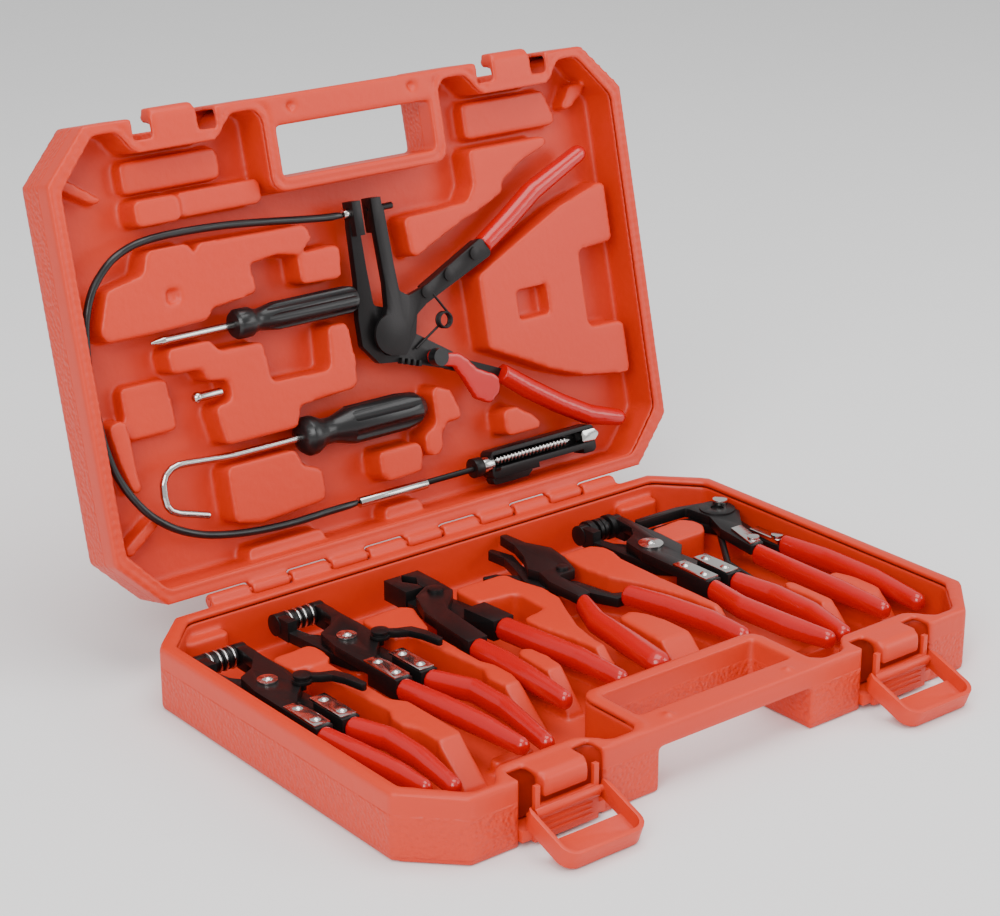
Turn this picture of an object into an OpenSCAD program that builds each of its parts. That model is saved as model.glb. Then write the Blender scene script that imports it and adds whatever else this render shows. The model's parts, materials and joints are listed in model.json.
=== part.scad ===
/* [Case] */
// overall width of the case along its hinge
case_w = 400; // [360:1:440]
// depth of the case from hinge edge to front edge
case_d = 263; // [261:1:290]
// height of the base half up to the parting plane
base_h = 36; // [36:0.5:42]
// height of the lid half up to the parting plane
lid_h = 31; // [31:0.5:38]
// wall thickness of the blown shell
wall = 2.5; // [2:0.1:3]
// width of the flat rim round each half
rim_w = 8; // [6:0.5:9]
// corner chamfer along the width
corner_x = 27; // [15:1:30]
// corner chamfer along the depth
corner_y = 28; // [15:1:30]
// angle the lid stands open at
open_angle = 103.6; // [95:0.1:112]
// hinge line behind the rear edge
hinge_back = 5; // [4.8:0.1:7]

/* [Handle and latches] */
// width of the hand slot
slot_w = 107; // [90:1:112]
// front to back size of the hand slot
slot_d = 29; // [24:1:30]
// height of the handle bar
bar_h = 12; // [9:0.5:14]
// distance of each latch from the middle
latch_x = 117.5; // [112:0.5:120]
// outside width of a latch loop
latch_w = 50.4; // [48:0.2:51]
// length of a latch loop from its hinge
loop_len = 34; // [32:0.5:35]
// angle the open latch hangs below level
latch_hang = 20; // [0:1:20]

/* [Base tools] */
// height of the middle of the pliers lying in the base
tool_z = 24.5; // [24:0.5:25]
// half thickness of the steel pliers
steel_t = 6; // [5:0.1:6]
// gap between the two lapped halves of a pair of pliers
lap_gap = 0.3; // [0.2:0.05:0.6]
// radius of a swivelling jaw
jaw_r = 6.2; // [5:0.1:6.2]
// radius of the pin a swivelling jaw turns on
jaw_pin_r = 2.5; // [2:0.1:3]
// running clearance on the radius of pins
run = 0.05; // [0.02:0.01:0.1]
// radius of the lock screw under the knob
lock_pin_r = 2.2; // [1.5:0.1:2.5]

/* [Lid tools] */
// height of the middle of the cable pliers lying in the lid
cable_z = 19.5; // [19:0.5:20]
// diameter of the cable housing
cable_d = 4.8; // [4:0.1:5]
// diameter of the screwdriver shaft
driver_d = 4.6; // [4:0.1:5.4]
// largest radius of the screwdriver handle
driver_r = 8.3; // [7:0.1:8.5]
// diameter of the hook tool's shaft
hook_d = 4.5; // [4:0.1:5]
// largest radius of the hook tool's handle
hook_r = 11.5; // [10:0.1:11.8]

/* [Hidden] */
$fn = 40;
half_d = case_d / 2;
half_w = case_w / 2;
lid_gap = 0.3;
floor_b = wall + 2;
isl = wall - 0.5;
red = [0.86, 0.25, 0.14];
deep_red = [0.82, 0.22, 0.12];
grip_red = [0.78, 0.02, 0.03];
black = [0.07, 0.07, 0.075];
steel = [0.16, 0.16, 0.17];
chrome = [0.8, 0.8, 0.8];
front = case_d;
slot_front = case_d - 17;
slot_back = slot_front - slot_d;
knuckle_r = 4.5;
pivot_v = case_d + 3;
pivot_z = 17;
cable_pivot = [6, 116];

// ---------- small helpers ----------
function unit(a) = a / norm(a);
function area(p) = let(n = len(p))
  [for (i = 0, s = 0; i <= n; s = s + (i < n ? p[i][0] * p[(i + 1) % n][1]
  - p[(i + 1) % n][0] * p[i][1] : 0), i = i + 1) s][n] / 2;
// crossing point of two lines given by a point and a direction each
function cross_pt(a, u, b, w) = let(d = u[0] * w[1] - u[1] * w[0],
  t = ((b[0] - a[0]) * w[1] - (b[1] - a[1]) * w[0]) / d) a + u * t;
// outline moved inwards by d
function inset(p, d) = let(n = len(p), s = area(p) > 0 ? 1 : -1)
  [for (i = [0:n - 1]) let(a = p[(i + n - 1) % n], b = p[i], c = p[(i + 1) % n],
  u = unit(b - a), w = unit(c - b), nu = [-u[1], u[0]] * s * d,
  nw = [-w[1], w[0]] * s * d) cross_pt(a + nu, u, b + nw, w)];
// outline with its corners rounded
function soft(p, r, k = 3) = let(n = len(p)) [for (i = [0:n - 1])
  let(a = p[(i + n - 1) % n], b = p[i], c = p[(i + 1) % n], u = unit(a - b),
  w = unit(c - b)) if (norm(u + w) > 0.002)
  let(g = acos(u * w), t = min(r / tan(g / 2), norm(a - b) * 0.45,
  norm(c - b) * 0.45), q = t * tan(g / 2), m = b + unit(u + w) * q / sin(g / 2),
  d0 = b + u * t - m, d1 = b + w * t - m)
  for (j = [0:k]) m + unit(d0 * (k - j) / k + d1 * j / k) * q];

module slab(p, z0, z1) {
  translate([0, 0, z0])
    linear_extrude(z1 - z0)
      polygon(p);
}
module rod(a, b, r) {
  d = b - a;
  translate(a)
    rotate([0, acos(d[2] / norm(d)), atan2(d[1], d[0])])
      cylinder(h = norm(d), r = r, $fn = 20);
}
module ball(p, r) {
  translate(p)
    sphere(r = r, $fn = 20);
}
// bent wire of straight lengths with ball corners
module wire(p, r) {
  for (i = [0:len(p) - 2])
    rod(p[i], p[i + 1], r);
  for (q = p)
    ball(q, r + 0.06);
}
// soft dipped grip through stations [x, y, half width, half height]
module limb(p) {
  for (i = [0:len(p) - 2])
    hull() {
      for (q = [p[i], p[i + 1]])
        translate([q[0], q[1], 0])
          scale([1, 1, q[3] / q[2]])
            sphere(r = q[2], $fn = 18);
    }
}
module in_base(x, v) {
  translate([x, half_d - v, tool_z])
    children();
}
// lid frame: y grows away from the hinge, z towards the opening
module in_lid() {
  translate([0, half_d + hinge_back, base_h])
    rotate([180 - open_angle, 0, 0])
      translate([0, hinge_back, -lid_h - lid_gap])
        children();
}
// base frame with y counted from the hinge edge towards the front
module base_plan() {
  mirror([0, 1, 0])
    translate([0, -half_d, 0])
      children();
}

// ---------- case outlines ----------
// outer outline with the hand slot cut in from the front
function case_out() = [[-half_w, corner_y], [corner_x - half_w, 0],
  [half_w - corner_x, 0], [half_w, corner_y], [half_w, front - corner_y],
  [half_w - corner_x, front], [slot_w / 2, front], [slot_w / 2, slot_back],
  [-slot_w / 2, slot_back], [-slot_w / 2, front], [corner_x - half_w, front],
  [-half_w, front - corner_y]];
// inner edge of the rim, stepping round the latches and the handle
function rim_in() = let(w = half_w - rim_w, f = front - 6, c = rim_w * 0.6,
  l = latch_x, s = slot_w / 2 + rim_w, b = slot_back - rim_w)
  [[-w, corner_y + c], [corner_x + c - 1 - half_w, rim_w],
  [half_w - corner_x - c + 1, rim_w], [w, corner_y + c], [w, front - corner_y - c],
  [half_w - corner_x - c, f], [l + 36, f], [l + 27, f - 13], [l - 25, f - 13],
  [l - 36, f], [s, f], [s, b], [-s, b], [-s, f], [36 - l, f],
  [25 - l, f - 13], [-27 - l, f - 13], [-36 - l, f],
  [corner_x + c - half_w, f], [-w, front - corner_y - c]];
rim_soft = 8;
// half width of the latch plate, middle of the slots beside it
plate_hw = latch_w / 2 - 5.2;
slot_mid = latch_w / 2 - 4.7;
// top of the pads the flat tools lie on
pad_top = tool_z - steel_t - 0.7;
// outline of the raised bead on the base rim and the groove in the lid's
function bead(o) = soft(inset(rim_in(), -o), rim_soft);

// islands as [top height, outline in x and distance from the hinge edge]
base_islands = [
  [28, [[-153, 62], [-125, 60], [-124, 70], [-126, 82], [-150, 82]]],
  [27, [[-142, 76], [-129, 76], [-129, 138], [-123, 146], [-123, 193],
    [-138, 193], [-138, 175], [-142, 166], [-141, 156], [-137, 148]]],
  [28, [[-86, 52], [-58, 50], [-52, 56], [-56, 66], [-62, 84], [-86, 84]]],
  [27, [[-76, 80], [-63, 80], [-64, 132], [-61, 140], [-61, 156], [-64, 165],
    [-73, 165], [-74, 150], [-69, 140], [-72, 110]]],
  [27, [[-43, 138], [-38, 133], [-33, 137], [-32, 150], [-34, 165], [-45, 165]]],
  [28, [[-20, 51], [17, 51], [18, 64], [22, 80], [21, 96], [13, 112], [4, 132],
    [0, 150], [-1, 161], [-7, 161], [-9, 140], [-13, 122], [-14, 106], [4, 103],
    [5, 77], [-20, 74]]],
  [27, [[30, 136], [41, 133], [46, 142], [49, 156], [49, 175], [27, 175],
    [29, 150]]],
  [28, [[60, 50], [83, 50], [88, 57], [88, 66], [85, 76], [84, 112], [85, 140],
    [84, 162], [79, 162], [77, 138], [70, 112], [61, 92], [58, 70]]],
  [28, [[125, 59], [130, 54], [153, 53], [158, 60], [158, 68], [152, 76],
    [125, 76]]],
  [27, [[133, 164], [137, 158], [141, 162], [141, 194], [132, 194],
    [134, 180]]],
  [27, [[162, 168], [170, 165], [174, 178], [174, 200], [162, 200]]],
  [18, [[125, 76], [132, 76], [131, 112], [125, 112]]],
  [26, [[-178, 8], [-148, 8], [-148, 17], [-178, 17]]],
  [26, [[138, 8], [168, 8], [168, 17], [138, 17]]],
  [pad_top, [[-179, 80], [-164, 80], [-164, 106], [-179, 106]]],
  [pad_top, [[-115, 60], [-99, 60], [-99, 90], [-115, 90]]],
  [pad_top, [[-41, 40], [-29, 40], [-29, 76], [-41, 76]]],
  [pad_top, [[36, 58], [52, 58], [52, 84], [36, 84]]],
  [pad_top, [[98, 64], [116, 64], [116, 98], [98, 98]]],
  [pad_top, [[168, 52], [186, 52], [186, 78], [168, 78]]],
  [12, [[-186, 206], [-150, 206], [-150, 214], [-186, 214]]],
  [12, [[-114, 200], [-88, 200], [-88, 208], [-114, 208]]],
  [12, [[88, 206], [124, 206], [124, 214], [88, 214]]]];
// sloping ends of the long islands as [x0, x1, v0, v1, top]
base_slopes = [[-139, -124, 192, 214, 27], [-74, -63, 164, 187, 27],
  [-45, -34, 164, 182, 27], [-8, -1, 160, 184, 28], [27, 49, 174, 196, 27],
  [79, 84, 161, 186, 28], [131, 141, 193, 214, 27], [162, 173, 199, 220, 27]];
lid_islands = [
  [23, [[-180, 152], [-172, 174], [-148, 179], [-144, 191], [-117, 191],
    [-111, 179], [-80, 173], [-78, 156], [-108, 153], [-113, 147],
    [-150, 146], [-176, 146]]],
  [23, [[-113, 176], [-113, 190], [-62, 189], [-40, 189], [-36, 180],
    [-48, 172], [-62, 175], [-84, 172]]],
  [22, [[-48, 155], [-20, 154], [-18, 174], [-48, 173]]],
  [23, [[-142, 136], [-114, 136], [-108, 129], [-80, 129], [-78, 105],
    [-38, 104], [-36, 129], [-22, 129], [-20, 106], [-22, 90], [-62, 88],
    [-66, 76], [-114, 76], [-118, 99], [-106, 100], [-106, 112], [-120, 114],
    [-121, 121], [-141, 122]]],
  [23, [[-117, 64], [-70, 64], [-67, 54], [-55, 50], [-55, 31], [-100, 28],
    [-117, 32]]],
  [23, [[-15, 50], [14, 50], [17, 44], [14, 32], [-10, 31], [-15, 36]]],
  [22, [[30, 81], [44, 75], [48, 64], [50, 56], [38, 56], [33, 50], [32, 39],
    [20, 39], [20, 52], [30, 57]]],
  [22, [[80, 54], [90, 55], [103, 47], [110, 38], [80, 38]]],
  [23, [[76, 138], [100, 149], [120, 158], [145, 169], [183, 180], [183, 141],
    [155, 140], [155, 92], [183, 91], [183, 57], [145, 63], [120, 72], [100, 82],
    [76, 93]]],
  [23, [[30, 155], [48, 163], [70, 172], [86, 177], [103, 184], [104, 190],
    [120, 200], [143, 208], [140, 213], [82, 213], [82, 192], [76, 183],
    [28, 181]]],
  [23, [[-147, 204], [-118, 204], [-118, 219], [-147, 219]]],
  [21, [[-119, 205], [-64, 205], [-64, 219], [-119, 219]]],
  [14, [[-170, 120], [-140, 120], [-138, 90], [-170, 90]]],
  [20, [[-184, 102], [-172, 104], [-170, 62], [-175, 62], [-180, 80]]],
  [19, [[-112, 9], [-56, 9], [-60, 15], [-108, 15]]],
  [18, [[-16, 9], [16, 9], [12, 16], [-12, 16]]],
  [14, [[-147, 222], [-84, 222], [-84, 240], [-147, 240]]],
  [14, [[88, 218], [160, 218], [152, 240], [88, 240]]],
  [16, [[-187, 232], [-183, 238], [-160, 222], [-166, 220]]],
  [16, [[-186, 32], [-182, 27], [-160, 42], [-164, 47]]],
  [16, [[162, 226], [170, 226], [184, 236], [180, 241], [172, 240]]]];

// pockets sunk in an island as [x0, v0, x1, v1, bottom, island top]
lid_wells = [[103, 106, 126, 124, 12, 23], [-136, 160, -128, 168, 20, 23]];
module slope(s, z0) {
  translate([s[0], 0, 0])
    rotate([90, 0, 90])
      linear_extrude(s[1] - s[0])
        polygon([[s[2], z0], [s[3], z0], [s[3], z0 + 4], [s[2], s[4]]]);
}
function box_xy(x0, y0, x1, y1) = [[x0, y0], [x1, y0], [x1, y1], [x0, y1]];
// outer skin of one half: floor, walls, flat rim and handle bar
module skin(h) {
  difference() {
    union() {
      difference() {
        slab(case_out(), 0, h);
        slab(inset(case_out(), wall), wall, h - 3);
        slab(soft(rim_in(), rim_soft), wall, h + 1);
      }
      slab(box_xy(-slot_w / 2 - 6, slot_front, slot_w / 2 + 6, front), h - bar_h, h);
    }
    slab(soft(box_xy(-slot_w / 2, slot_back, slot_w / 2, slot_front), 13, 5),
      -1, h + 1);
    slab(box_xy(-slot_w / 2, slot_front - 16, slot_w / 2, slot_front), -1,
      h - bar_h);
    for (m = [-1, 1]) {
      for (s = [-1, 1])
        slab(box_xy(m * latch_x + s * slot_mid - 5.8, front - 12,
          m * latch_x + s * slot_mid + 5.8, front + 5), -1, h + 2);
      slab(box_xy(m * latch_x - slot_mid + 5.5, front - 9,
        m * latch_x + slot_mid - 5.5, front + 2), -1, h - 12);
    }
  }
  for (m = [-1, 1])
    latch_bar(m * latch_x, h);
}
// rolled lip the latch works on
module latch_bar(x, h) {
  slab(box_xy(x - 14, front - 4, x + 14, front + 1), h - 12, h - 0.5);
  translate([x - 14, front - 0.5, h - 5])
    rotate([0, 90, 0])
      cylinder(h = 28, r = 4.5);
  slab(box_xy(x - 14, front - 0.5, x + 14, front + 4), h - 12, h - 5);
}
// inner skin of one half: hollow islands standing on a thin floor
module tray(h, islands, slopes, wells) {
  difference() {
    union() {
      tray_hollow(h, islands, slopes);
      for (w = wells)
        slab(box_xy(w[0] - isl, w[1] - isl, w[2] + isl, w[3] + isl), wall, w[5] - 1);
    }
    for (w = wells)
      slab(box_xy(w[0], w[1], w[2], w[3]), w[4], w[5] + 3);
  }
}
module tray_hollow(h, islands, slopes) {
  difference() {
    union() {
      slab(soft(inset(rim_in(), -isl), rim_soft + isl), wall, floor_b);
      difference() {
        slab(soft(inset(rim_in(), -isl), rim_soft + isl), wall, h - 3);
        slab(soft(rim_in(), rim_soft), wall - 1, h);
      }
      for (i = islands)
        slab(soft(i[1], 4), floor_b - 1, i[0]);
      for (s = slopes)
        slope(s, floor_b - 1);
    }
    for (i = islands)
      slab(inset(i[1], isl + 0.4), wall - 1, i[0] - isl);
  }
}
module knuckles(x0) {
  for (k = [0:5])
    translate([x0 + k * 54, half_d + hinge_back, base_h])
      rotate([0, 90, 0])
        cylinder(h = 26, r = knuckle_r);
}
module hinge_bore() {
  translate([-175, half_d + hinge_back, base_h])
    rotate([0, 90, 0])
      cylinder(h = 350, r = 2 + run);
}
module base_shell() {
  color(red)
    difference() {
      union() {
        base_plan() {
          skin(base_h);
          difference() {
            slab(bead(4.2), base_h - 1, base_h + 0.8);
            slab(bead(2.8), base_h - 2, base_h + 2);
          }
          for (m = [-1, 1])
            translate([m * 42, front - 7, base_h - 1])
              cylinder(h = 2.8, r = 2.2);
        }
        knuckles(-148);
        for (k = [0:5])
          translate([-147.5 + k * 54, half_d - 1, base_h - knuckle_r])
            cube([25, hinge_back + 1, 3]);
      }
      hinge_bore();
    }
}
module base_tray() {
  color(deep_red)
    base_plan()
      tray(base_h, base_islands, base_slopes, []);
}
module lid_shell() {
  color(red)
    difference() {
      union() {
        in_lid() {
          difference() {
            skin(lid_h);
            difference() {
              slab(bead(4.6), lid_h - 1.2, lid_h + 1);
              slab(bead(2.4), lid_h - 2, lid_h + 2);
            }
            for (m = [-1, 1])
              translate([m * 42, front - 7, lid_h - 2.6])
                cylinder(h = 4, r = 2.7);
          }
          for (k = [0:4])
            translate([-120 + k * 54, -hinge_back, lid_h - 3.5])
              cube([24, hinge_back + 1, 3]);
        }
        for (k = [0:4])
          translate([-120.5 + k * 54, half_d + hinge_back, base_h])
            rotate([0, 90, 0])
              cylinder(h = 25, r = knuckle_r);
      }
      hinge_bore();
    }
}
module lid_tray() {
  color(deep_red)
    in_lid()
      tray(lid_h, lid_islands, [], lid_wells);
}
module hinge_rod() {
  color(red)
    translate([-148, half_d + hinge_back, base_h])
      rotate([0, 90, 0])
        cylinder(h = 296, r = 2);
}
// latch loop, drawn pointing out along -y from its hinge line, then hung
module latch_loop(x) {
  w = latch_w / 2;
  e = loop_len;
  color(red)
    translate([x, half_d - pivot_v, pivot_z])
      rotate([latch_hang, 0, 0]) {
        difference() {
          slab(soft([[-w, 4], [w, 4], [w, -e], [-w, -e]], 8, 5), -5, 5);
          slab(soft([[2.4 - w, 8], [w - 2.4, 8], [w - 2.4, 2.4 - e],
            [2.4 - w, 2.4 - e]], 6, 5), -6, 6);
        }
        slab([[2 - w, -16], [w - 2, -16], [w - 2, 7 - e], [w - 7, 2 - e],
          [7 - w, 2 - e], [2 - w, 7 - e]], -4.8, -2.6);
        for (s = [-1, 1])
          translate([s > 0 ? w - 8.2 : 2 - w, 0, 0])
            rotate([0, 90, 0])
              cylinder(h = 6.2, r = 2);
      }
}
module latch_left() {
  latch_loop(-latch_x);
}
module latch_right() {
  latch_loop(latch_x);
}
// ribbed plate clipped into the front wall that carries the loop's hinge
module latch_plate(x) {
  y0 = half_d - pivot_v;
  color(red)
    difference() {
      union() {
        translate([x - plate_hw, y0 - 1, 2])
          cube([2 * plate_hw, 2.5, 19]);
        for (s = [-1, 1])
          translate([s > 0 ? x + plate_hw - 3 : x - plate_hw, y0 - 1, 20])
            cube([3, 2.5, 12]);
        for (k = [0:3])
          translate([x - 16, y0 - 1.6, 5 + k * 3])
            cube([32, 1, 1.2]);
        translate([x - slot_mid - 5.8, y0 + 1, 3])
          cube([2 * slot_mid + 11.6, 10.4, 6]);
        translate([x - plate_hw, y0 + 0.5, pivot_z])
          rotate([0, 90, 0])
            cylinder(h = 2 * plate_hw, r = 3.5);
      }
      for (s = [-1, 1])
        translate([s > 0 ? x + plate_hw - 3.3 : x - plate_hw - 1, y0, pivot_z])
          rotate([0, 90, 0])
            cylinder(h = 4.3, r = 2 + run);
    }
}
module latch_plates() {
  latch_plate(-latch_x);
  latch_plate(latch_x);
}

// ---------- swivel jaw pliers, drawn round their pivot ----------
// k is 1 for the upper half; outlines are for the plain pair
arm_b = [[9.5, 40], [15.5, 40], [15, 26], [15.5, 8], [14, -12], [4, -22],
  [-2, -30], [-2, -62], [-12, -62], [-12, -30], [-12, -6], [-9, 12], [2, 18],
  [8, 26]];
arm_a = [[-15.5, 40], [-9.5, 40], [-7, 26], [2, 15], [11, 8], [14, -6],
  [15.5, -30], [14.5, -62], [4, -62], [3, -30], [-2, -24], [-9, -16], [-12, -2],
  [-13, 12], [-14, 26]];
module pliers_half(arm, up, px, tang, jaw, spool = false) {
  z0 = up ? lap_gap / 2 : -steel_t;
  difference() {
    union() {
      slab(soft(arm, 2.5), z0, z0 + steel_t - lap_gap / 2);
      slab(tang, -steel_t, steel_t);
      if (jaw > 0) {
        slab(px > 0 ? box_xy(9.5, 34, 15.5, 44) : box_xy(-15.5, 34, -9.5, 44),
          -steel_t, steel_t);
        translate([px > 0 ? 9.5 : -16, 47, 0])
          rotate([0, 90, 0])
            cylinder(h = 6.5, r = jaw_r);
        translate([px > 0 ? 2 : -10, 47, 0])
          rotate([0, 90, 0])
            cylinder(h = 8, r = jaw_pin_r);
      }
      if (spool)
        for (r = [[0.4, 3, 7], [2.6, 6.4, 4.6], [6, 9.8, 7.6]])
          translate([px > 0 ? r[0] : -r[1], 47, 0])
            rotate([0, 90, 0])
              cylinder(h = r[1] - r[0], r = r[2]);
      if (!up)
        translate([0, 0, -1])
          cylinder(h = steel_t + 0.9, r = 4.5);
    }
    if (up)
      translate([0, 0, -1])
        cylinder(h = steel_t + 2, r = 4.5 + run);
  }
}
tang_b = [[-12, -36], [-2, -36], [-2, -62], [-12, -62]];
tang_a = [[4, -36], [15, -36], [14.5, -62], [4, -62]];
module swivel_jaw(px) {
  color(black)
    difference() {
      for (r = [[0.3, 7.6, jaw_r - 0.7], [0.3, 2, jaw_r - 0.2], [4, 6, jaw_r - 0.2],
        [7.5, 9.2, jaw_r]])
        translate([px > 0 ? r[0] : -r[1], 47, 0])
          rotate([0, 90, 0])
            cylinder(h = r[1] - r[0], r = r[2]);
      translate([px > 0 ? 1.7 : -10, 47, 0])
        rotate([0, 90, 0])
          cylinder(h = 8.3, r = jaw_pin_r + run);
    }
}
module riveted_plate(p, rv) {
  color(chrome) {
    slab(p, steel_t, steel_t + 1.2);
    for (q = rv)
      translate([q[0], q[1], steel_t + 1])
        intersection() {
          translate([0, 0, -2.2])
            sphere(r = 3.8, $fn = 24);
          cylinder(h = 3, r = 3);
        }
  }
}
module lock_lever() {
  color(black)
    difference() {
      union() {
        translate([13, -13, steel_t + 0.3])
          cylinder(h = 2, r = 5.6);
        translate([13, -13, steel_t + 2])
          cylinder(h = 2, r = 4);
        translate([13, -13, steel_t + 3.6])
          cylinder(h = 1.2, r = 5);
        slab(soft([[15, -11], [22, -16], [29.5, -19], [33, -28], [34, -42],
          [30.5, -43], [28, -30], [25, -23], [20, -20.5], [14, -16]], 1.5),
          steel_t + 0.6, steel_t + 4.4);
      }
      translate([13, -13, 0])
        cylinder(h = steel_t + 4.2, r = lock_pin_r + run);
    }
}
module lock_stud() {
  translate([13, -13, 2])
    cylinder(h = steel_t + 2, r = lock_pin_r);
}
module grip(p, tang) {
  color(grip_red)
    difference() {
      limb(p);
      translate([-60, p[0][1], -20])
        cube([120, 30, 40]);
    }
}
edge_left = [[-7.5, -62, 5.5, 6.5], [-5, -85, 6, 7], [-1, -115, 5.5, 6.5],
  [0, -136, 4, 5]];
edge_right = [[10, -62, 5.5, 6.5], [17, -84, 5.5, 7], [17, -110, 5.5, 6.5],
  [12, -143, 4.5, 5]];
swivel_left = [[-7.5, -62, 5.5, 6.5], [-4, -91, 6, 7], [-1, -121, 6, 6.5],
  [0, -150, 4.5, 5]];
swivel_right = [[10, -62, 5.5, 6.5], [20, -86, 5.5, 7], [20, -112, 5.5, 6.5],
  [12, -155, 4.5, 5]];
wide_left = [[-7.5, -62, 5.5, 6.5], [-12, -90, 6, 7], [-10, -122, 6, 7],
  [-5, -150, 5, 5.5]];
wide_right = [[10, -62, 5.5, 6.5], [14, -90, 6, 7], [13, -120, 6, 7],
  [7, -150, 5, 5.5]];
module half_a_of(spool) {
  color(steel)
    pliers_half(arm_a, false, -1, tang_a, 1, spool);
}
module half_b_of(spool, stud) {
  color(steel) {
    pliers_half(arm_b, true, 1, tang_b, 1, spool);
    if (stud)
      lock_stud();
  }
}
module plate_a() {
  riveted_plate(box_xy(4.2, -60, 14, -32), [[9, -38], [9, -54]]);
}
module plate_b() {
  riveted_plate(box_xy(-11.8, -60, -2.2, -32), [[-7, -38], [-7, -54], [0, 0]]);
  color(chrome)
    translate([0, 0, steel_t])
      cylinder(h = 1.1, r = 5.6);
}
module edge() {
  in_base(-171, 88)
    children();
}
module swivel() {
  in_base(-107, 69)
    children();
}
module wide() {
  in_base(108, 76)
    children();
}
module edge_half_a() { edge() half_a_of(false); }
module edge_half_b() { edge() half_b_of(false, true); }
module edge_grip_a() { edge() grip(edge_right); }
module edge_grip_b() { edge() grip(edge_left); }
module edge_plate_a() { edge() plate_a(); }
module edge_plate_b() { edge() plate_b(); }
module edge_lock() { edge() lock_lever(); }
module edge_jaw_a() { edge() swivel_jaw(-1); }
module edge_jaw_b() { edge() swivel_jaw(1); }
module swivel_half_a() { swivel() half_a_of(false); }
module swivel_half_b() { swivel() half_b_of(false, true); }
module swivel_grip_a() { swivel() grip(swivel_right); }
module swivel_grip_b() { swivel() grip(swivel_left); }
module swivel_plate_a() { swivel() plate_a(); }
module swivel_plate_b() { swivel() plate_b(); }
module swivel_lock() { swivel() lock_lever(); }
module swivel_jaw_a() { swivel() swivel_jaw(-1); }
module swivel_jaw_b() { swivel() swivel_jaw(1); }
module wide_half_a() { wide() half_a_of(true); }
module wide_half_b() { wide() half_b_of(true, false); }
module wide_grip_a() { wide() grip(wide_right); }
module wide_grip_b() { wide() grip(wide_left); }
module wide_plate_a() { wide() plate_a(); }
module wide_plate_b() {
  wide() {
    plate_b();
    color(chrome)
      translate([0, 0, steel_t])
        cylinder(h = 1, r = 7.5);
  }
}

// ---------- ear clamp pliers ----------
module ear() {
  in_base(-32, 50)
    children();
}
module ear_half_a() {
  color(steel)
    ear()
      difference() {
        union() {
          slab([[-15, 8], [-3.2, 8], [-3.2, 13], [-8, 21], [-3.2, 29], [-15, 29]],
            -steel_t, steel_t);
          slab(soft([[-15, 9], [-4, 9], [8, 2], [11, -20], [13, -52], [-1, -52],
            [-4, -20], [-14, -6]], 3), -steel_t, -lap_gap / 2);
          slab([[-3, -30], [11.5, -30], [13, -54], [-1, -54]], -steel_t, steel_t);
          translate([0, 0, -1])
            cylinder(h = steel_t + 2.5, r = 4.5);
        }
      }
}
module ear_half_b() {
  color(steel)
    ear()
      difference() {
        union() {
          slab([[9, 8], [-2.8, 8], [-2.8, 13], [2, 21], [-2.8, 29], [9, 29]],
            -steel_t, steel_t);
          slab(soft([[9, 9], [-2, 7.5], [-14, 0], [-23, -20], [-28, -64], [-15, -64],
            [-10, -24], [8, -6]], 3), lap_gap / 2, steel_t);
          slab([[-25, -34], [-11.5, -34], [-15, -66], [-28, -66]], -steel_t,
            steel_t);
        }
        translate([0, 0, -9])
          cylinder(h = 20, r = 4.5 + run);
        translate([0, 0, -steel_t - 1])
          cylinder(h = steel_t + 1, r = 11);
      }
}
module ear_grip_a() {
  ear()
    grip([[6, -54, 6.5, 6.8], [9, -80, 6.5, 7], [13, -110, 6, 7],
      [14, -142, 5, 5.5]]);
}
module ear_grip_b() {
  ear()
    grip([[-22, -66, 6, 6.5], [-21.5, -89, 6.5, 7], [-23, -112, 6, 7],
      [-25, -143, 4.5, 5.5]]);
}

// ---------- pinching pliers with curved blades ----------
module nose() {
  in_base(44, 71)
    children();
}
module nose_half_a() {
  color(grip_red)
    nose() {
      slab(soft([[-9, 58], [-5, 60], [-1, 44], [-6, 30], [-10, 12], [2, 7], [6, 0],
        [0, -8], [-14, -8], [-20, 0], [-20, 10], [-13, 28], [-8, 44]], 1.5),
        -steel_t, -lap_gap / 2);
      slab(soft([[-35, 34], [-24, 32], [-13, 20], [-14, 13], [-26, 24]], 1.2),
        -steel_t, -2);
      slab([[-4, -2], [4, -8], [9, -34], [17, -38], [17, -42], [6, -42], [-4, -20]],
        -steel_t, -lap_gap / 2);
      translate([0, 0, -1])
        cylinder(h = steel_t + 2.6, r = 3.5);
    }
}
module nose_half_b() {
  color(black)
    nose()
      difference() {
        union() {
          slab(soft([[2, 61], [7, 61], [8, 44], [15, 28], [12, 12], [5, -6], [-8, -6],
            [-9, -36], [-18, -36], [-18, -10], [-14, 4], [-16, 12], [-6, 28],
            [0, 44]], 2), lap_gap / 2, steel_t);
        }
        translate([0, 0, -9])
          cylinder(h = 20, r = 3.5 + run);
      }
}
module nose_grip_a() {
  nose()
    grip([[13, -42, 5.5, 6.5], [20, -68, 6, 7], [25, -98, 6, 7],
      [26, -122, 5, 5.5]]);
}
module nose_grip_b() {
  nose()
    grip([[-15, -36, 5, 6.5], [-25, -60, 6.5, 7], [-29, -90, 7.5, 7],
      [-33, -118, 7.5, 6.5]]);
}

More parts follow.
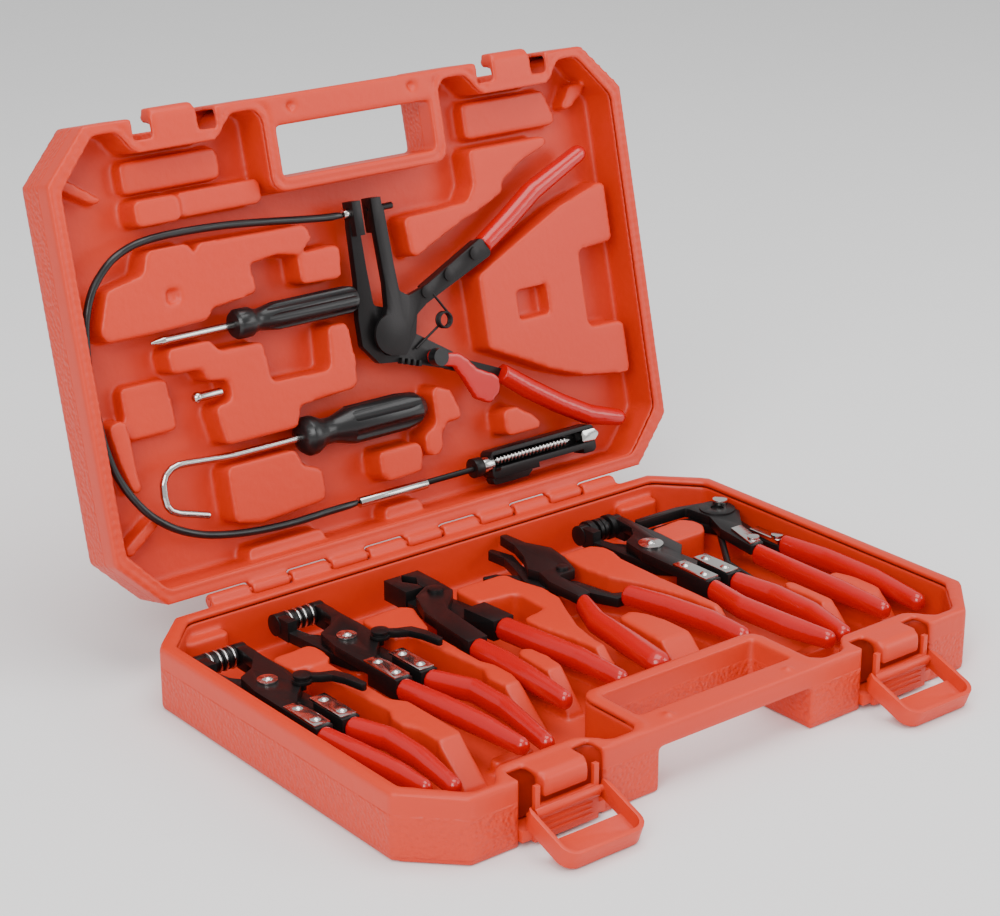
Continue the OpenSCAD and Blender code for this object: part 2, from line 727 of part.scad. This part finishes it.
// ---------- bent jaw pliers ----------
module bent() {
  in_base(177, 60)
    children();
}
module bent_half_a() {
  color(steel)
    bent() {
      slab(soft([[-52, 13], [-18, 12.5], [-6, 8], [8, 10], [10, -8], [6, -26], [6, -56],
        [-2, -56], [-4, -26], [-10, -6], [-20, 8.5], [-52, 9.5]], 2), -steel_t,
        -lap_gap / 2);
      translate([0, 0, -1])
        cylinder(h = steel_t + 1, r = 4);
      wire([[-6, -8, -2.5], [-40, -52, -2.5], [-46, -84, -2.5]], 2);
    }
}
module bent_half_b() {
  color(steel)
    bent()
      difference() {
        union() {
          slab(soft([[-52, 18.5], [-18, 18], [0, 13], [10, 6], [9, -10], [-6, -28],
            [-15, -56], [-25, -56], [-20, -24], [-12, -6], [-14, 13], [-52, 14]], 2),
            lap_gap / 2, steel_t);
          translate([0, 0, steel_t - 1])
            cylinder(h = 2, r = 11);
        }
        translate([0, 0, -9])
          cylinder(h = 20, r = 4 + run);
      }
}
module bent_plate_a() {
  color(chrome)
    bent() {
      slab(box_xy(-1.5, -54, 5.5, -30), -lap_gap / 2, 3);
      translate([2, -50, 3])
        cylinder(h = 2, r = 3.6);
    }
}
module bent_plate_b() {
  color(chrome)
    bent() {
      slab([[-17, -30], [-9, -30], [-16, -54], [-24, -54]], steel_t, steel_t + 1.5);
      translate([-18, -50, steel_t + 1])
        cylinder(h = 2, r = 3.6);
      translate([6, 4, steel_t + 1])
        cylinder(h = 3, r = 4.5);
    }
}
module bent_grip_a() {
  bent()
    grip([[2, -56, 5, 6.5], [6, -88, 6, 7], [6, -125, 6, 7], [2, -162, 5, 5.5]]);
}
module bent_grip_b() {
  bent()
    grip([[-20, -56, 5, 6.5], [-21.5, -88, 5.5, 7], [-21.5, -125, 5.5, 7],
      [-21.5, -158, 4.5, 5.5]]);
}

// ---------- lid tools, drawn in the lid's frame ----------
module at_pivot() {
  in_lid()
    translate([cable_pivot[0], cable_pivot[1], cable_z])
      children();
}
module cable_half_lo() {
  color(steel)
    at_pivot() {
      slab(soft([[-14, 66], [-13, 74], [-10, 78], [-7.5, 74], [-7, 40], [-6, 18],
        [14, 12], [18, -2], [46, -20], [44, -30], [8, -18], [-8, -16], [-18, -4],
        [-18, 12], [-15, 34]], 2.5), -5, -lap_gap / 2);
      slab([[-13.5, 60], [-7.5, 60], [-7.5, 80], [-13.5, 80]], -5, 5);
      slab([[40, -20], [79.6, -36.6], [75.4, -42.7], [40, -29]], -5, -1);
      translate([0, 0, -1])
        cylinder(h = 5.3, r = 4.8);
      translate([30, -19.5, -1])
        cylinder(h = 8, r = 2.5);
      for (k = [0:3])
        translate([5 + k * 4, -18.5 - k * 1.3, -1.2])
          rotate([0, 0, -18])
            cube([2, 3.5, 4]);
    }
}
module cable_half_up() {
  color(steel)
    at_pivot() {
      difference() {
        union() {
          slab(soft([[0, 66], [1, 78], [4, 79], [8, 74], [9, 40], [10, 24],
            [16, 20], [28, 23], [74.825, 44.5], [81.233, 33.4], [28, 13], [20, 8], [17, -4],
            [8, -14], [-4, -12], [-6, 4], [0, 16], [1, 30]], 2.5),
            lap_gap / 2, 5);
          slab([[0, 60], [7, 60], [7, 80], [0, 80]], -5, 5);
          slab([[32, 18], [76, 38], [74, 43], [30, 23]], -5, 1);
          translate([0, 0, 4])
            cylinder(h = 2, r = 12);
          translate([4, 73.5, 0])
            rotate([0, 90, 0])
              cylinder(h = 13, r = 2);
          for (q = [[29, 20], [47, 27], [68, 36]])
            translate([q[0], q[1], 4])
              cylinder(h = 2.4, r = 4);
        }
        translate([0, 0, -9])
          cylinder(h = 13.5, r = 4.8 + run);
        translate([-8, 73.5, 0])
          rotate([0, 90, 0])
            cylinder(h = 11.6, r = 1);
      }
    }
}
module cable_grip_lo() {
  color(grip_red)
    at_pivot()
      difference() {
        limb([[78, -39, 6, 6.5], [96, -52, 6.5, 6.5], [118, -66, 6.5, 6.5],
          [140, -78, 6.5, 6.5], [163, -85, 5.5, 6]]);
        translate([78, -39, 0])
          rotate([0, 0, 145])
            translate([0, -20, -20])
              cube([40, 40, 40]);
      }
}
module cable_grip_up() {
  color(grip_red)
    at_pivot()
      difference() {
        limb([[78, 39, 6, 6.5], [99, 51, 6.4, 6.6], [121, 65, 6.5, 6.7],
          [161, 82, 5.5, 6]]);
        translate([78, 39, 0])
          rotate([0, 0, 210])
            translate([0, -20, -20])
              cube([40, 40, 40]);
      }
}
// lock lever dipped in red with its black knob
module cable_lock() {
  color(grip_red)
    at_pivot()
      difference() {
        union() {
          slab(soft([[46, -20], [51, -24], [58, -32], [70, -38], [73.5, -41], [72, -49],
            [64, -55], [54, -50], [48, -38], [42, -28], [28, -24], [26, -17]], 3),
            lap_gap / 2, 5);
          translate([30, -19.5, lap_gap / 2])
            cylinder(h = 8, r = 5);
        }
        translate([30, -19.5, -3])
          cylinder(h = 10.05, r = 2.5 + run);
      }
}
// cable housing along the way it is clipped round the lid
cable_path = [[-12, 189.5], [-24, 189.5], [-50, 192.5], [-90, 197], [-130, 198], [-150, 196],
  [-165, 190], [-179, 177], [-186.4, 160], [-189.2, 140], [-189.2, 115], [-188.4, 95],
  [-185, 77], [-178, 62], [-168, 48], [-154, 37], [-138, 30], [-120, 26],
  [-100, 23.5], [-75, 22.5], [-55, 23.5], [-32, 23.5]];
function across(p, i) = let(a = p[max(i - 1, 0)], b = p[min(i + 1, len(p) - 1)],
  u = unit(b - a)) [-u[1], u[0]];
// round bar of radius r and m sides along a route at height z
module swept(p, z, r, m) {
  n = len(p);
  polyhedron(
    points = [for (i = [0:n - 1]) for (k = [0:m - 1])
      let(q = p[i], w = across(p, i), a = k * 360 / m)
      [q[0] + w[0] * cos(a) * r, q[1] + w[1] * cos(a) * r, z + sin(a) * r]],
    faces = concat([[for (k = [0:m - 1]) k]],
      [for (i = [0:n - 2]) for (k = [0:m - 1]) [i * m + k, (i + 1) * m + k,
        (i + 1) * m + (k + 1) % m, i * m + (k + 1) % m]],
      [[for (k = [0:m - 1]) (n - 1) * m + m - 1 - k]]));
}
module cable_housing() {
  color(black)
    in_lid()
      swept(cable_path, cable_z, cable_d / 2, 8);
}
module x_rod(x0, x1, v, r) {
  translate([x0, v, cable_z])
    rotate([0, 90, 0])
      cylinder(h = x1 - x0, r = r);
}
module cable_fittings() {
  color(chrome)
    in_lid() {
      x_rod(-12, -7.5, 189.5, 3);
      x_rod(-32, 17, 23.5, 3.1);
      x_rod(58, 66, 24.5, 4.8);
      x_rod(66, 128, 25.5, 1);
      for (k = [0:19])
        translate([70 + k * 2.8, 25.5, cable_z])
          rotate([0, 90, 0])
            rotate_extrude($fn = 24)
              translate([2.6, 0])
                circle(r = 0.6, $fn = 14);
      translate([69, 25.5, cable_z])
        rotate([0, 90, 0])
          cylinder(h = 57, r = 2.1);
    }
}
module cable_head() {
  color(black)
    in_lid()
      difference() {
        union() {
          x_rod(17, 53, 24, 1.8);
          x_rod(52, 58, 24.5, 6);
          slab(soft(box_xy(64, 15, 146, 32), 3), cable_z - 6.5, cable_z + 4);
          slab(soft([[66, 11], [92, 11], [98, 16], [64, 16]], 2), cable_z - 5,
            cable_z + 2);
          translate([66, 24, cable_z])
            rotate([0, 90, 0])
              cylinder(h = 4, r = 6);
        }
        slab(box_xy(66, 21.5, 149, 29.5), cable_z - 4, cable_z + 9);
        x_rod(57, 67, 24.5, 4.8);
        slab(box_xy(100, 14, 136, 18), cable_z - 8, cable_z + 9);
      }
}
module cable_tip() {
  color(chrome)
    in_lid()
      difference() {
        slab(soft([[136, 21.8], [146, 21.8], [150, 25.5], [146, 29.2], [136, 29.2]],
          1.5), cable_z - 3.7, cable_z + 4);
      }
}
module turned(p, x, v, z) {
  translate([x, v, z])
    rotate([0, 90, 0])
      rotate_extrude()
        polygon(p);
}
driver_v = 141;
driver_z = 19;
module driver_shaft() {
  color(chrome)
    in_lid()
      turned([[0, 0], [0.6, 0], [1.6, 3], [2.6, 7], [2.6, 9], [driver_d / 2, 11],
        [driver_d / 2, 53.5], [0, 53.5]], -149, driver_v, driver_z);
}
module driver_handle() {
  color(black)
    in_lid()
      difference() {
        turned([[0, 0], [7.2, 0], [8.6, 2], [8.6, 10], [7, 13], [6.3, 16], [6.8, 19],
          [driver_r, 28], [driver_r, 78], [7, 82], [4, 83.5], [0, 83.5]],
          -95.5, driver_v, driver_z);
        for (k = [0:7])
          translate([-75, driver_v, driver_z])
            rotate([k * 45, 0, 0])
              translate([0, 0, driver_r + 1.2])
                rotate([0, 90, 0])
                  cylinder(h = 70, r = 2.6, $fn = 16);
      }
}
hook_v = 69;
hook_z = 17.3;
hook_path = [[-58, 69], [-108, 69], [-114, 69.3], [-138, 71.3], [-144, 71.6],
  [-149, 70.4], [-153, 67.5], [-155.4, 63], [-156, 56], [-155.4, 51],
  [-153, 47.4], [-148.5, 45], [-130, 39.5]];
module hook_shaft() {
  color(chrome)
    in_lid()
      swept(hook_path, hook_z, hook_d / 2, 12);
}
module hook_handle() {
  color(black)
    in_lid()
      difference() {
        turned([[0, 0], [5, 0], [9, 1.5], [hook_r, 5], [hook_r, 9], [9.5, 13],
          [8, 16], [7.6, 22], [8.4, 26], [hook_r, 36], [hook_r, 72], [10, 82],
          [6, 88], [0, 89.5]], -64, hook_v, hook_z);
        translate([-70, hook_v, hook_z])
          rotate([0, 90, 0])
            cylinder(h = 12, r = hook_d / 2);
        for (k = [0:5])
          translate([-30, hook_v, hook_z])
            rotate([30 + k * 60, 0, 0])
              translate([0, 0, hook_r + 3])
                rotate([0, 90, 0])
                  cylinder(h = 70, r = 5, $fn = 24);
      }
}
module pin() {
  color(chrome)
    in_lid()
      turned([[0, 0], [2, 0.6], [3.1, 2.2], [3.1, 4], [2.5, 5], [2.5, 18.6],
        [1.9, 19.2], [0, 19.2]], -129.2, 106, 19);
}

// ---------- pieces drawn by name ----------
base_shell();
base_tray();
lid_shell();
lid_tray();
hinge_rod();
latch_left();
latch_right();
latch_plates();
edge_half_a();
edge_half_b();
edge_grip_a();
edge_grip_b();
edge_plate_a();
edge_plate_b();
edge_lock();
edge_jaw_a();
edge_jaw_b();
swivel_half_a();
swivel_half_b();
swivel_grip_a();
swivel_grip_b();
swivel_plate_a();
swivel_plate_b();
swivel_lock();
swivel_jaw_a();
swivel_jaw_b();
ear_half_a();
ear_half_b();
ear_grip_a();
ear_grip_b();
nose_half_a();
nose_half_b();
nose_grip_a();
nose_grip_b();
wide_half_a();
wide_half_b();
wide_grip_a();
wide_grip_b();
wide_plate_a();
wide_plate_b();
bent_half_a();
bent_half_b();
bent_grip_a();
bent_grip_b();
bent_plate_a();
bent_plate_b();
cable_half_lo();
cable_half_up();
cable_grip_lo();
cable_grip_up();
cable_lock();
cable_housing();
cable_fittings();
cable_head();
cable_tip();
driver_shaft();
driver_handle();
hook_shaft();
hook_handle();
pin();
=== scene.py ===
"""Hose clamp pliers kit in its open red blow-moulded case."""

import json
import math

import bmesh
import bpy
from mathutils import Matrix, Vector


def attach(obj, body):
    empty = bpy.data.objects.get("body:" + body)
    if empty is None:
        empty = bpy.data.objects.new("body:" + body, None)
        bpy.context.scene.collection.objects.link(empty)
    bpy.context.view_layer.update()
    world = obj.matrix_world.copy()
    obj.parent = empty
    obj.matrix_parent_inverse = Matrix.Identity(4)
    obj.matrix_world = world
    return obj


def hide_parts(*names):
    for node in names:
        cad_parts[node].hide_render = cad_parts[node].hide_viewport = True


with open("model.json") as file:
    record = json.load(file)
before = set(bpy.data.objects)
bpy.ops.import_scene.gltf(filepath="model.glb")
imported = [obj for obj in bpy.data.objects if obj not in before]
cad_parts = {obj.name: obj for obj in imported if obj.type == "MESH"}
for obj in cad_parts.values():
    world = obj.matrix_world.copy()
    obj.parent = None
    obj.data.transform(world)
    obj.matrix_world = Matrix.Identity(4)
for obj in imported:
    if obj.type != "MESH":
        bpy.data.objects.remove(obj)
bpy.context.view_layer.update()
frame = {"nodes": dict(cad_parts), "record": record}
NODES = frame["nodes"]
RECORD = frame["record"]
SLOTS = {row["node"]: row["material_slot"] for row in RECORD["subparts"]}
BODY_OF = {}
for body_name, members in RECORD["behaviour"]["bodies"].items():
    for member in members:
        BODY_OF[member] = body_name
MM = 0.001


# ---------- paint ----------
def srgb(code):
    """Linear colour from a hex sRGB code."""
    parts = [int(code[i:i + 2], 16) / 255 for i in (1, 3, 5)]
    linear = [c / 12.92 if c <= 0.04045 else ((c + 0.055) / 1.055) ** 2.4 for c in parts]
    return (*linear, 1.0)


def put(tree, kind, settings=None, links=None, **fields):
    """Adds one node with its fields, socket settings and incoming links."""
    node = tree.nodes.new(kind)
    for name, value in fields.items():
        setattr(node, name, value)
    for name, value in (settings or {}).items():
        node.inputs[name].default_value = value
    for name, source in (links or {}).items():
        tree.links.new(source, node.inputs[name])
    return node


def finish_of(name, base, shade, grain_mm, bump_mm, **settings):
    """A finish whose colour drifts a little from base to shade and whose surface has a fine grain."""
    material = bpy.data.materials.new(name)
    material.use_nodes = True
    tree = material.node_tree
    tree.nodes.clear()
    where = put(tree, "ShaderNodeTexCoord")
    drift = put(tree, "ShaderNodeTexNoise", {"Scale": 14.0, "Detail": 3.0},
                {"Vector": where.outputs["Object"]})
    tone = put(tree, "ShaderNodeMix", {6: srgb(base), 7: srgb(shade)},
               {0: drift.outputs["Fac"]}, data_type="RGBA")
    grain = put(tree, "ShaderNodeTexNoise", {"Scale": 1 / (grain_mm * MM), "Detail": 2.0},
                {"Vector": where.outputs["Object"]})
    bump = put(tree, "ShaderNodeBump", {"Strength": 1.0, "Distance": bump_mm * MM},
               {"Height": grain.outputs["Fac"]})
    surface = put(tree, "ShaderNodeBsdfPrincipled", settings,
                  {"Base Color": tone.outputs[2], "Normal": bump.outputs["Normal"]})
    put(tree, "ShaderNodeOutputMaterial", links={"Surface": surface.outputs["BSDF"]})
    return material


def blown_plastic(name, turn, low, high):
    """Orange-red blow-moulded polyethylene: waxy satin, pebbled on the outside between low and high."""
    material = bpy.data.materials.new(name)
    material.use_nodes = True
    tree = material.node_tree
    tree.nodes.clear()
    where = put(tree, "ShaderNodeTexCoord")
    upright = put(tree, "ShaderNodeMapping", {"Rotation": turn},
                  {"Vector": where.outputs["Object"]})
    axes = put(tree, "ShaderNodeSeparateXYZ", links={"Vector": upright.outputs["Vector"]})
    above = put(tree, "ShaderNodeMapRange", {"From Min": low, "From Max": low + 0.001},
                {"Value": axes.outputs["Z"]})
    below = put(tree, "ShaderNodeMapRange",
                {"From Min": high, "From Max": high + 0.001, "To Min": 1.0, "To Max": 0.0},
                {"Value": axes.outputs["Z"]})
    band = put(tree, "ShaderNodeMath", links={0: above.outputs[0], 1: below.outputs[0]},
               operation="MULTIPLY")
    pebbles = put(tree, "ShaderNodeTexVoronoi", {"Scale": 1 / (2.2 * MM)},
                  {"Vector": where.outputs["Object"]}, feature="SMOOTH_F1")
    fine = put(tree, "ShaderNodeTexNoise", {"Scale": 1 / (6 * MM), "Detail": 3.0},
               {"Vector": where.outputs["Object"]})
    coarse = put(tree, "ShaderNodeMath", links={0: band.outputs[0], 1: pebbles.outputs["Distance"]},
                 operation="MULTIPLY")
    height = put(tree, "ShaderNodeMath", {1: 0.25}, {0: fine.outputs["Fac"], 2: coarse.outputs[0]},
                 operation="MULTIPLY_ADD")
    bump = put(tree, "ShaderNodeBump", {"Strength": 1.0, "Distance": 0.9 * MM},
               {"Height": height.outputs[0]})
    drift = put(tree, "ShaderNodeTexNoise", {"Scale": 9.0, "Detail": 3.0},
                {"Vector": where.outputs["Object"]})
    tone = put(tree, "ShaderNodeMix", {6: srgb("#CC2C0C"), 7: srgb("#D43612")},
               {0: drift.outputs["Fac"]}, data_type="RGBA")
    surface = put(tree, "ShaderNodeBsdfPrincipled",
                  {"Roughness": 0.46, "IOR": 1.5, "Subsurface Weight": 0.06,
                   "Subsurface Radius": (0.004, 0.001, 0.0005)},
                  {"Base Color": tone.outputs[2], "Normal": bump.outputs["Normal"]})
    put(tree, "ShaderNodeOutputMaterial", links={"Surface": surface.outputs["BSDF"]})
    return material


FINISHES = {
    "grip_vinyl": finish_of("dipped vinyl", "#B80004", "#C40407", 9, 0.15,
                            Roughness=0.24, IOR=1.5, **{"Coat Weight": 0.25, "Coat Roughness": 0.15}),
    "black_steel": finish_of("black oxide steel", "#1C1A1B", "#2A2828", 1.2, 0.04,
                             Roughness=0.38, Metallic=0.65),
    "bright_steel": finish_of("polished plated steel", "#D6D4D2", "#C2BFBC", 2.0, 0.02,
                              Roughness=0.16, Metallic=1.0),
    "black_plastic": finish_of("black acetate handle", "#121213", "#1B1B1C", 3, 0.05,
                               Roughness=0.3, IOR=1.48),
    "cable_cover": finish_of("black vinyl cable cover", "#141415", "#1D1D1E", 2, 0.03,
                             Roughness=0.28, IOR=1.5),
}
LID_TURN = (math.radians(-76.4), 0.0, 0.0)
CASE_BASE = blown_plastic("blown polyethylene base", (0.0, 0.0, 0.0), 0.002, 0.024)
CASE_LID = blown_plastic("blown polyethylene lid", LID_TURN, -0.1535, -0.137)
PLAIN = blown_plastic("moulded polypropylene", (0.0, 0.0, 0.0), -1.0, -0.9)


# ---------- pieces made over the frame's solids ----------
def select_only(obj):
    """Makes one piece the only selected and active one."""
    if bpy.context.mode != "OBJECT":
        bpy.ops.object.mode_set(mode="OBJECT")
    bpy.ops.object.select_all(action="DESELECT")
    obj.select_set(True)
    bpy.context.view_layer.objects.active = obj


def welded_copy(node):
    """A copy of a frame piece with its loose triangles joined into one skin."""
    source = NODES[node]
    mesh = source.data.copy()
    obj = bpy.data.objects.new(node + "_skin", mesh)
    bpy.context.scene.collection.objects.link(obj)
    obj.data.materials.clear()
    select_only(obj)
    bpy.ops.object.mode_set(mode="EDIT")
    bpy.ops.mesh.select_all(action="SELECT")
    bpy.ops.mesh.remove_doubles(threshold=0.00001)
    bpy.ops.mesh.customdata_custom_splitnormals_clear()
    bpy.ops.object.mode_set(mode="OBJECT")
    return obj


def apply(obj, kind, **fields):
    """Adds a modifier with its settings and applies it."""
    select_only(obj)
    step = obj.modifiers.new(kind.lower(), kind)
    for name, value in fields.items():
        setattr(step, name, value)
    bpy.ops.object.modifier_apply(modifier=step.name)


def settle(obj, node, material):
    """The finished skin takes its node's place, body and finish."""
    obj.data.materials.append(material)
    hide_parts(node)
    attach(obj, BODY_OF[node])


def soft_moulding(node, material, voxel, rounds, most):
    """Blown or dipped piece: every edge and inside corner flows into the next."""
    obj = welded_copy(node)
    apply(obj, "REMESH", mode="VOXEL", voxel_size=voxel, use_smooth_shade=True)
    apply(obj, "SMOOTH", factor=0.5, iterations=rounds)
    count = sum(len(p.vertices) - 2 for p in obj.data.polygons)
    if count > most:
        apply(obj, "DECIMATE", ratio=most / count)
    select_only(obj)
    bpy.ops.object.shade_smooth()
    settle(obj, node, material)
    return obj


def flowing_cord(node, material):
    """The cable's straight lengths run into each other as one smooth sweep."""
    obj = welded_copy(node)
    apply(obj, "SUBSURF", levels=2, render_levels=2)
    select_only(obj)
    bpy.ops.object.shade_smooth()
    settle(obj, node, material)
    return obj


def crisp_piece(node, material, width):
    """Machined or pressed piece: flat faces kept, edges broken by a small round."""
    obj = welded_copy(node)
    select_only(obj)
    bpy.ops.object.mode_set(mode="EDIT")
    bpy.ops.mesh.select_all(action="SELECT")
    bpy.ops.mesh.dissolve_limited(angle_limit=math.radians(1))
    bpy.ops.object.mode_set(mode="OBJECT")
    apply(obj, "BEVEL", width=width, segments=2, limit_method="ANGLE",
          angle_limit=math.radians(35), use_clamp_overlap=True)
    select_only(obj)
    bpy.ops.object.shade_smooth_by_angle(angle=math.radians(38))
    settle(obj, node, material)
    return obj


for node in NODES:
    slot = SLOTS[node]
    if node == "base_shell":
        soft_moulding(node, CASE_BASE, 1.2 * MM, 8, 150000)
    elif node == "lid_shell":
        soft_moulding(node, CASE_LID, 1.2 * MM, 8, 150000)
    elif node in ("base_tray", "lid_tray"):
        soft_moulding(node, PLAIN, 1.2 * MM, 8, 150000)
    elif slot == "case_plastic":
        crisp_piece(node, PLAIN, 0.5 * MM)
    elif slot == "grip_vinyl":
        soft_moulding(node, FINISHES[slot], 0.9 * MM, 6, 12000)
    elif slot == "cable_cover":
        flowing_cord(node, FINISHES[slot])
    elif node == "hook_shaft":
        soft_moulding(node, FINISHES[slot], 0.5 * MM, 10, 24000)
    else:
        crisp_piece(node, FINISHES[slot], 0.35 * MM)


# ---------- small parts the frame leaves out ----------
CASE_DEPTH = 263.0
HINGE_BACK = 5.0
BASE_HEIGHT = 36.0
LID_HEIGHT = 31.0
LID_GAP = 0.3
TOOL_Z = 24.5
CABLE_Z = 19.5
LID_LEAN = math.radians(76.4)
LID_NORMAL = Vector((0.0, -math.sin(LID_LEAN), math.cos(LID_LEAN)))


def base_point(x, from_hinge, z=TOOL_Z):
    """A place in the base, counted in mm from the hinge edge."""
    return Vector((x, CASE_DEPTH / 2 - from_hinge, z)) * MM


def lid_point(x, from_hinge, z=CABLE_Z):
    """A place in the lid, counted in mm from its hinge edge and its outer back."""
    out = from_hinge + HINGE_BACK
    rise = z - LID_HEIGHT - LID_GAP
    return Vector((
        x,
        out * math.cos(LID_LEAN) - rise * math.sin(LID_LEAN) + CASE_DEPTH / 2 + HINGE_BACK,
        out * math.sin(LID_LEAN) + rise * math.cos(LID_LEAN) + BASE_HEIGHT)) * MM


def finished(name, body, material):
    """Puts the new piece at the origin and gives it its name, body and finish."""
    obj = bpy.context.object
    obj.name = name
    bpy.ops.object.transform_apply(location=True, rotation=True, scale=True)
    obj.data.materials.append(material)
    bpy.ops.object.shade_smooth_by_angle(angle=math.radians(40))
    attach(obj, body)
    return obj


def hoop(name, centre, axis, radius, wire, body, slot):
    """A ring of round wire lying across the axis."""
    bpy.ops.object.select_all(action="DESELECT")
    bpy.ops.mesh.primitive_torus_add(
        location=centre, rotation=axis.to_track_quat("Z", "Y").to_euler(),
        major_radius=radius * MM, minor_radius=wire * MM,
        major_segments=48, minor_segments=12)
    return finished(name, body, FINISHES[slot])


def bar(name, start, end, radius, body, slot):
    """A round bar between two places."""
    bpy.ops.object.select_all(action="DESELECT")
    bpy.ops.mesh.primitive_cylinder_add(
        location=(start + end) / 2, rotation=(end - start).to_track_quat("Z", "Y").to_euler(),
        radius=radius * MM, depth=(end - start).length, vertices=32)
    return finished(name, body, FINISHES[slot])


ALONG_HINGE = Vector((1.0, 0.0, 0.0))
JAW_AHEAD = 47.0
for title, x, pivot in (("edge", -171.0, 88.0), ("swivel", -107.0, 69.0)):
    for side, turn in (("left", -1.0), ("right", 1.0)):
        for count, across in enumerate((2.0, 7.0)):
            hoop(f"{title}_{side}_jaw_ring_{count}", base_point(x + turn * across, pivot - JAW_AHEAD),
                 ALONG_HINGE, 5.8, 0.75, f"{title} pliers {side} jaw", "bright_steel")

# torsion spring that opens the cable pliers
for turn in range(3):
    hoop(f"spring_turn_{turn}", lid_point(46, 117, 21.0 + turn * 1.6), LID_NORMAL, 4.5, 0.75,
         "cable pliers", "black_steel")
bar("spring_leg_upper", lid_point(38, 136, 24.2), lid_point(50.4, 118, 24.2), 0.75,
    "cable pliers", "black_steel")
bar("spring_leg_lower", lid_point(42.4, 114, 21.0), lid_point(24, 104, 21.0), 0.75,
    "cable pliers", "black_steel")
bar("lock_knob", lid_point(36, 96.5, 22.0), lid_point(36, 96.5, 28.4), 5.3,
    "cable pliers lock", "black_plastic")


# ---------- camera, floor and lights ----------
camera_data = bpy.data.cameras.new("camera")
camera_data.lens = 88.2
camera_data.sensor_width = 36.0
camera = bpy.data.objects.new("camera", camera_data)
bpy.context.scene.collection.objects.link(camera)
camera.location = (-0.797, -0.932, 0.591)
AZIMUTH = math.radians(-38.69)
ELEVATION = math.radians(20.74)
look = Vector((-math.sin(AZIMUTH) * math.cos(ELEVATION),
               math.cos(AZIMUTH) * math.cos(ELEVATION), -math.sin(ELEVATION)))
camera.rotation_euler = look.to_track_quat("-Z", "Y").to_euler()
bpy.context.scene.camera = camera


def area_light(name, place, aim, size, power):
    """A soft rectangular lamp that looks at a place."""
    data = bpy.data.lights.new(name, "AREA")
    data.shape = "RECTANGLE"
    data.size = size[0]
    data.size_y = size[1]
    data.energy = power
    lamp = bpy.data.objects.new(name, data)
    bpy.context.scene.collection.objects.link(lamp)
    lamp.location = place
    lamp.rotation_euler = (Vector(aim) - Vector(place)).to_track_quat("-Z", "Y").to_euler()


area_light("left softbox", (-1.5, -1.1, 1.3), (0, 0, 0.1), (1.2, 1.2), 32)
area_light("overhead softbox", (0.1, -0.2, 1.9), (0, 0, 0), (1.4, 1.4), 24)
area_light("right softbox", (1.5, -1.3, 0.9), (0, 0, 0.1), (1.0, 1.2), 14)

world = bpy.data.worlds.new("studio")
world.use_nodes = True
world.node_tree.nodes["Background"].inputs["Color"].default_value = (1, 1, 1, 1)
world.node_tree.nodes["Background"].inputs["Strength"].default_value = 0.7
bpy.context.scene.world = world

bpy.ops.object.select_all(action="DESELECT")
bpy.ops.mesh.primitive_plane_add(size=12, location=(0, 0, -0.0005))
floor = bpy.context.object
floor.name = "floor"
floor.data.materials.append(
    finish_of("pale matte paper", "#F4F4F4", "#F2F2F2", 30, 0.01, Roughness=0.9))
